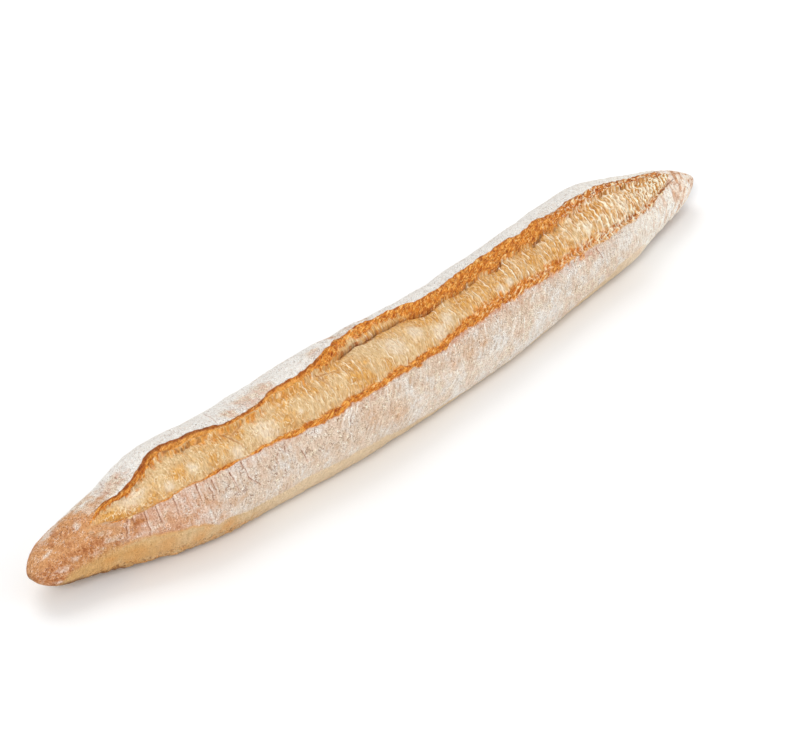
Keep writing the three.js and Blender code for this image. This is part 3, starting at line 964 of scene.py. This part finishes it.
class CrustNodes:
    """Short calls that add nodes to the crust's material, and the noises that its finishes share."""

    def __init__(self, tree):
        self.tree = tree
        self.layout = self.add("ShaderNodeAttribute", {}, "Vector", attribute_name="layout")
        metres = self.add("ShaderNodeTexCoord", {}, "Object")
        place = self.vectors("MULTIPLY", metres, (1 / MILLIMETRE,) * 3)
        self.fine = self.grain(place, 0.65, 1.0)
        self.coarse = self.grain(place, 1.9, 1.0, 0.5)
        self.middle = self.grain(place, 3.4, 3.0)
        self.broad = self.grain(place, 12.0, 3.0)
        self.push = 0.3 * (self.fine - MEAN) + 0.5 * (self.coarse - MEAN) + 0.7 * (self.middle - MEAN)
        self.hairs = self.drawn(-STROKE_TURN, 0.8, 2.8, 1.0)
        self.flakes = self.drawn(LAYER_TURN, 4.0, 0.8, 1.0)
        slanting, across = self.drawn(52, 6.5, 1.7), self.drawn(84, 6.0, 1.5)
        self.wrinkle = self.between(across, slanting, self["slant"])

    def __getitem__(self, name):
        """The mask of that name, which the mesh of the loaf carries."""
        return self.add("ShaderNodeAttribute", {}, "Fac", attribute_name=name)

    def fill(self, node, inputs):
        for name, value in inputs.items():
            if isinstance(value, Value):
                self.tree.links.new(value.socket, node.inputs[name])
            else:
                node.inputs[name].default_value = value

    def add(self, kind, inputs, output=0, **settings):
        node = self.tree.nodes.new(kind)
        for name, value in settings.items():
            setattr(node, name, value)
        self.fill(node, inputs)
        return Value(self, node.outputs[output])

    def sums(self, operation, first, second=0.0):
        return self.add("ShaderNodeMath", {0: first, 1: second}, operation=operation)

    def vectors(self, operation, *values):
        return self.add("ShaderNodeVectorMath", dict(enumerate(values)), "Vector", operation=operation)

    def grain(self, vector, size, detail, rough=0.6):
        inputs = {"Vector": vector, "Scale": 1 / size, "Detail": detail, "Roughness": rough}
        return self.add("ShaderNodeTexNoise", inputs, "Fac")

    def drawn(self, turn, along, across, detail=2.0, rough=0.6):
        """Noise over the skin, with grains drawn out along a turned direction or across it."""
        inputs = {
            "Vector": self.layout,
            "Rotation": (0, 0, math.radians(turn)),
            "Scale": (along, across, 1),
        }
        turned = self.add("ShaderNodeMapping", inputs, "Vector", vector_type="TEXTURE")
        return self.grain(turned, 1.0, detail, rough)

    def torn_lines(self, turn, size, level, width):
        """Thin lines where a drawn-out noise passes a level."""
        return self.ramp(abs(self.drawn(turn, *size) - level), width, 0.2 * width)

    def ramp(self, value, low, high):
        inputs = {"Value": value, "From Min": low, "From Max": high}
        return self.add("ShaderNodeMapRange", inputs, "Result", interpolation_type="SMOOTHSTEP")

    def line(self, name, width, ragged):
        """Thin line along the middle of a line field, with a ragged edge."""
        away = abs(self[name + "_side"]) + 1.6 * width * (ragged - MEAN)
        return self.ramp(away, width, 0.2 * width) * self[name + "_weight"]

    def power(self, surface, exponent):
        return self.add("ShaderNodeGamma", {"Color": surface, "Gamma": exponent}, "Color")

    def between(self, first, second, part):
        return self.add("ShaderNodeMix", {"Factor": part, 2: first, 3: second}, 0, data_type="FLOAT")

    def blend(self, first, second, part):
        inputs = {"Factor": part, 6: colour(first), 7: colour(second)}
        return self.add("ShaderNodeMix", inputs, 2, data_type="RGBA")

    def tinted(self, surface, table):
        for seen, mask, strength in table:
            surface = self.blend(surface, seen, strength * self[mask])
        return surface


def flour_colour(n):
    flour = n.blend((230, 208, 190), (231, 214, 190), n.ramp(n.middle, 0.35, 0.65))
    flour = n.blend(flour, (230, 223, 215), n.ramp(n.broad, 0.4, 0.62))
    flour = n.blend(flour, (243, 237, 229), n.ramp(n["flour"], 0.7, 1.0))
    return n.tinted(flour, FLOUR_TINTS)


def foot_colour(n):
    """Pale foot of the loaf, orange and pitted in places."""
    foot = n.blend((206, 172, 126), (220, 192, 150), n.ramp(n.push, -0.35, 0.35))
    foot = n.tinted(foot, FOOT_TINTS)
    foot = n.blend(foot, (208, 142, 66), 0.6 * n["foot_rough"] * n.ramp(n.middle, 0.4, 0.6))
    pits = n.ramp(n.coarse, 0.54, 0.66) * (0.85 * n["foot_rough"] + 0.1)
    return n.blend(foot, (140, 88, 44), 0.75 * pits)


def skin_colour(n):
    """Skin without flour, browned at the near end."""
    skin = n.blend((198, 166, 138), (206, 176, 144), n.ramp(n.broad, 0.35, 0.65))
    skin = n.blend(skin, (214, 152, 124), 0.7 * n["blush"])
    patchy = 1.4 * n.push + 0.8 * (n.wrinkle - MEAN)
    toasted = n.blend((170, 102, 56), (213, 152, 100), n.ramp(patchy, -0.4, 0.4))
    # Paler top of the browned end: partly a dusting of flour, partly painted light from above.
    toasted = n.blend(toasted, (228, 172, 118), 0.5 * n["lit_nose_top"])
    toasted = n.blend(toasted, (172, 104, 62), 0.6 * n.ramp(n.broad, 0.52, 0.7))
    return n.blend(skin, toasted, n.ramp(n["brown"] + 0.4 * n.push, 0.2, 0.95))


def crust_colour(n):
    """Skin under flour, with the pale foot and the underside."""
    streaks = 0.9 * (n.wrinkle - MEAN) * (1 - 0.6 * n["brown"])
    crust = n.blend(skin_colour(n), flour_colour(n), n.ramp(n["flour"] + streaks + n.push, 0.0, 1.0))
    crust = n.blend(crust, (244, 228, 216), 0.5 * n.ramp(n["dust"] + 0.8 * n.push, 0.3, 0.9))
    crust = n.tinted(crust, SKIN_TINTS)
    crust = n.blend(crust, foot_colour(n), n.ramp(n["foot_depth"] + 1.2 * n.push, -0.8, 0.8))
    crust = n.blend(crust, (96, 56, 34), 0.8 * n["bottom"])
    under = n.blend((168, 122, 76), (206, 170, 124), n.ramp(n.middle, 0.35, 0.65))
    return n.blend(crust, under, n["underside"])


def crazing(n):
    """Fine dry cracks that meet in a net, here and there on the near side."""
    drift = n.add("ShaderNodeTexNoise", {"Vector": n.layout, "Scale": 0.6}, "Color")
    bent = n.vectors("MULTIPLY_ADD", drift, (2.0, 2.0, 0), n.layout)
    inputs = {"Vector": bent, "Scale": 0.26}
    cells = n.add("ShaderNodeTexVoronoi", inputs, "Distance", feature="DISTANCE_TO_EDGE")
    return n.ramp(cells, 0.08, 0.02) * n.ramp(n.middle, 0.48, 0.58) * n["craze"]


def hair_cracks(n):
    """Short thin cracks of the dry skin and their pale side, slanting with its folds."""
    drawn = n.drawn(62, 5.0, 2.2)
    here = n.ramp(n.middle, 0.46, 0.58) * (1 - n["foot"])
    return [n.ramp(abs(drawn - level), 0.026, 0.006) * here for level in (0.5, 0.535)]


def marked_crust(n, crust):
    """The crust with its cracks and the painted light on one side of them, pale ridges, folds at the far end
    with painted shade in their dips and lighter crests, and loose flake.
    """
    folded = n["far_fold"] + 0.6 * n.push
    # Painted shade in the dips of the folds at the far end; their crests are made lighter.
    fold_shade = n.ramp(folded, -0.05, -0.4) * (n["tip_blush"] + 0.45)
    crust = n.blend(crust, (206, 154, 116), 0.75 * fold_shade)
    crust = n.blend(crust, (254, 248, 242), 0.65 * n.ramp(folded, 0.2, 0.55))
    split, pale_side = hair_cracks(n)
    crust = n.blend(crust, (252, 244, 236), 0.45 * pale_side)
    crust = n.blend(crust, (170, 126, 98), 0.5 * split)
    crust = n.blend(crust, (150, 110, 86), 0.62 * crazing(n))
    crust = n.blend(crust, (250, 240, 228), 0.85 * n.line("ridge", 0.75, n.coarse))
    crust = n.blend(crust, (212, 164, 136), 0.4 * n.line("crack", 1.5, n.coarse))
    # Painted light on the side of each crack that faces the light from the left.
    lit = n.ramp(n["crack_side"], -0.3, -0.8) * n.ramp(n["crack_side"], -1.7, -0.9) * n["crack_weight"]
    crust = n.blend(crust, (246, 236, 226), 0.38 * lit)
    crust = n.blend(crust, (132, 82, 54), 0.8 * n.line("crack", 0.42, n.coarse))
    return n.blend(crust, (248, 216, 164), n["flake"])


def crumb_colour(n):
    """Torn crumb: cream with golden and whitish patches, pale creases with painted shade beside them, and
    folds with painted shade along them.
    """
    pull = n.drawn(-STROKE_TURN, 1.5, 3.8) - MEAN
    patchy = n.middle - MEAN
    cream = n.blend((203, 164, 114), (227, 198, 153), n.ramp(pull, -0.26, 0.26))
    golden = n.blend((190, 128, 54), (222, 168, 92), n.ramp(pull, -0.18, 0.18))
    crumb = n.blend(cream, golden, n.ramp(n["gold"] + patchy + pull, 0.2, 1.1))
    whitish = n.ramp(n["pale"] + 1.6 * patchy, 0.1, 0.9) * n.ramp(n["pale"], 0.0, 0.3)
    crumb = n.blend(crumb, (238, 225, 207), 0.5 * whitish)
    # Painted shade just beside each pale crease.
    shade = n.torn_lines(-STROKE_TURN, CREASE_SIZE, 0.54, 0.05)
    crumb = n.blend(crumb, (184, 126, 64), 0.5 * shade * n.ramp(n.middle, 0.4, 0.6))
    crease = n.torn_lines(-STROKE_TURN, CREASE_SIZE, 0.5, 0.04) * (1 - 0.6 * n["flaky"])
    crumb = n.blend(crumb, (250, 230, 190), 0.7 * crease * n.ramp(n.middle, 0.35, 0.6))
    crumb = n.blend(crumb, (240, 222, 188), 0.4 * n.line("fold", 1.6, n.middle))
    # Painted shade along the middle of each fold.
    return n.blend(crumb, (176, 118, 58), 0.9 * n.line("fold", 1.0, n.middle))


def toast_colour(n):
    """Toasted edges: orange brown of varied tone, darker in the hollows of the crags as painted shade, with
    pale fibres and flakes.
    """
    across = n.drawn(-STROKE_TURN, 1.4, 4.0, rough=0.65)
    along = n.drawn(LAYER_TURN, 4.5, 1.3, rough=0.65)
    # The height follows the crags of the relief in part, so the hollows get painted shade.
    height = 0.6 * n["crag"] + (1.2 * across + 3.8 * along - 2.5)
    toast = n.blend((164, 80, 18), (212, 124, 32), n.ramp(height, -1.0, 0.1))
    toast = n.blend(toast, (246, 172, 74), n.ramp(height, 0.15, 0.8))
    toast = n.blend(toast, (136, 62, 16), 0.4 * n.torn_lines(LAYER_TURN, (7.0, 1.9), 0.46, 0.04))
    toast = n.blend(toast, (250, 194, 104), 0.6 * n.torn_lines(LAYER_TURN, (6.0, 1.7), 0.54, 0.04))
    flaky, lip_flakes = n["flaky"], n["lip_flakes"]
    far = n.ramp(flaky, 0.55, 1.0)
    toast = n.blend(toast, (150, 70, 32), 0.25 * far)
    raised = n.ramp(flaky, 0.6, 1.0) + lip_flakes
    pale = n.ramp(height + 0.4 * raised, 0.55, 0.95) * (flaky + 0.25 * lip_flakes)
    toast = n.blend(toast, (255, 230, 186), 0.95 * pale)
    toast = n.blend(toast, (255, 236, 204), 0.8 * n.ramp(n.coarse, 0.56, 0.64) * far)
    toast = n.tinted(toast, TOAST_TINTS)
    return n.blend(toast, (138, 64, 20), n.ramp(n.coarse, 0.64, 0.78) * (0.75 * far + 0.15))


def with_strands(n, surface):
    """Pale strands with painted shade on one side, drawn across the crumb, and a net of threads."""
    for name, weight, step in (
        ("strand", "strand_weight", STRAND_STEP),
        ("fine_strand", "fine_weight", FINE_STRAND_STEP),
    ):
        away = step * (n.sums("FRACT", n[name]) - 0.5) / n["strand_width"]
        # Painted shade on the side of each strand away from the light.
        shade = n.ramp(abs(away - 1.35), 1.0, 0.1)
        surface = n.blend(surface, (174, 112, 50), 0.75 * shade * n[weight])
        surface = n.blend(surface, (255, 243, 217), n.ramp(abs(away), 1.05, 0.2) * n[weight])
    net = abs(n["net"])
    surface = n.blend(surface, (196, 128, 60), 0.6 * n.ramp(net, 0.3, 0.6) * n["net_weight"])
    return n.blend(surface, (254, 240, 214), 0.85 * n.ramp(net, 0.2, 0.04) * n["net_weight"])


def with_grit(n, surface):
    """Light and dark specks of the skin and hairs of the crumb, and painted shade and light along the skin's
    wrinkles, stronger at the far end; these leave the tint as it is.
    """
    cut = n["crumb"] * (1 - 0.8 * n["toast"])
    sparse = n.ramp(n.fine, 0.57, 0.72) - n.ramp(n.fine, 0.43, 0.28)
    skin = (0.5 * (n.fine - MEAN) + 0.08 * sparse) * (n.ramp(n.middle, 0.38, 0.62) + 0.6)
    skin = n.between(skin, 0.55 * (n.flakes - MEAN), 0.8 * n["toast"])
    speck = GRIT * n.between(skin, n.hairs - MEAN, cut) * n["grit"]
    # Painted shade and light along the wrinkles of the skin, stronger towards the far end.
    fold = 0.16 * (n.wrinkle - MEAN) * (1.4 * n["bright"] + 1)
    seen = n.vectors("ADD", n.power(surface, 1 / SEEN_POWER), speck + fold * (1 - cut))
    seen = n.vectors("MINIMUM", n.vectors("MAXIMUM", seen, DARKEST_SEEN), LIGHTEST_SEEN)
    return n.power(seen, SEEN_POWER)


def crust_bump(n):
    """Pebbles and folds of the skin, and softer streaks of the crumb."""
    pebbles = 0.6 * n.fine + 0.9 * n.coarse + 1.1 * n.wrinkle
    streaks = 0.9 * n.hairs + 0.4 * n.coarse
    height = n.between(pebbles, streaks, n["crumb"] * (1 - n["toast"]))
    return n.add("ShaderNodeBump", {"Strength": 1.0, "Distance": BUMP_DEPTH, "Height": height}, "Normal")


def crust_material():
    material = bpy.data.materials.new("sourdough_crust")
    material.use_nodes = True
    tree = material.node_tree
    tree.nodes.clear()
    n = CrustNodes(tree)
    surface = n.blend(marked_crust(n, crust_colour(n)), crumb_colour(n), n["crumb"])
    toast_part = n.ramp(n["toast"] + 0.4 * n.push, 0.2, 0.75)
    surface = n.blend(surface, toast_colour(n), toast_part)
    # Pale shelf under the ear: crumb colour, lightened as painted light against the shade under the ear.
    surface = n.blend(surface, (242, 210, 160), 0.28 * n["shelf"])
    surface = n.blend(surface, (242, 226, 210), 0.8 * n.ramp(n["clump"] + n.push, 0.3, 0.9))
    surface = with_strands(n, surface)
    # Dark edge of the ear and end of the lip, and painted shade in the groove and its pits.
    surface = n.blend(surface, (108, 58, 26), n["dark_and_shade"])
    inputs = {
        "Base Color": with_grit(n, surface),
        "Normal": crust_bump(n),
        "Roughness": 0.92 - 0.22 * toast_part,
        "Specular IOR Level": 0.3,
    }
    shader = n.add("ShaderNodeBsdfPrincipled", inputs, "BSDF")
    n.fill(tree.nodes.new("ShaderNodeOutputMaterial"), {"Surface": shader})
    return material


def floor_material():
    material = bpy.data.materials.new("pale_floor")
    material.use_nodes = True
    shader = material.node_tree.nodes["Principled BSDF"]
    shader.inputs["Base Color"].default_value = (0.93, 0.93, 0.93, 1)
    shader.inputs["Roughness"].default_value = 0.9
    shader.inputs["Specular IOR Level"].default_value = 0.1
    return material


def make_floor():
    half = 6.0
    corners = [(-half, -half, 0), (half, -half, 0), (half, half, 0), (-half, half, 0)]
    mesh = bpy.data.meshes.new("floor")
    mesh.from_pydata(corners, [], [(0, 1, 2, 3)])
    mesh.materials.append(floor_material())
    floor = bpy.data.objects.new("floor", mesh)
    bpy.context.scene.collection.objects.link(floor)
    return floor


# Lamps: name, the direction that the light comes from, its spread in degrees, and its strength.
LAMPS = [
    ("left", (-0.9, -0.5, 0.8), 18, 1.4),
    ("front", (0.8, -0.9, 0.45), 40, 0.75),
    ("back", (0.15, 0.6, 1.0), 40, 0.9),
]
SKY_STRENGTH = 0.58


def add_lamp(name, towards, spread, strength):
    """Broad even light that comes from one direction, with soft shadows."""
    lamp = bpy.data.lights.new(name, "SUN")
    lamp.angle = math.radians(spread)
    lamp.energy = strength
    thing = bpy.data.objects.new(name, lamp)
    thing.rotation_mode = "QUATERNION"
    thing.rotation_quaternion = Vector(towards).to_track_quat("Z", "Y")
    bpy.context.scene.collection.objects.link(thing)


def light_scene():
    world = bpy.data.worlds.new("studio")
    bpy.context.scene.world = world
    world.use_nodes = True
    sky = world.node_tree.nodes["Background"]
    sky.inputs["Color"].default_value = (1, 1, 1, 1)
    sky.inputs["Strength"].default_value = SKY_STRENGTH
    for lamp in LAMPS:
        add_lamp(*lamp)


# Camera: width of the picture and focal length in pixels, turn and rise in degrees, place in metres.
FRAME_WIDTH = 798
FOCAL_PIXELS = 3350.8
CAMERA_TURN = 47.5  # from looking straight across the loaf
CAMERA_RISE = 35.0
CAMERA_PLACE = (-1.0936, -1.0008, 1.0472)


def make_camera():
    data = bpy.data.cameras.new("camera")
    data.sensor_width = 36
    data.lens = FOCAL_PIXELS * data.sensor_width / FRAME_WIDTH
    data.clip_end = 50
    camera = bpy.data.objects.new("camera", data)
    bpy.context.scene.collection.objects.link(camera)
    turn, rise = math.radians(CAMERA_TURN), math.radians(CAMERA_RISE)
    ahead = Vector((math.sin(turn) * math.cos(rise), math.cos(turn) * math.cos(rise), -math.sin(rise)))
    right = Vector((math.cos(turn), -math.sin(turn), 0))
    up = right.cross(ahead)
    facing = Matrix((right, up, -ahead)).transposed().to_4x4()
    camera.matrix_world = Matrix.Translation(CAMERA_PLACE) @ facing
    bpy.context.scene.camera = camera


bpy.context.scene.view_settings.view_transform = "Standard"
make_camera()
light_scene()
make_floor()
loaf = make_loaf(crust_material())
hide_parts("loaf")
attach(loaf, "root")
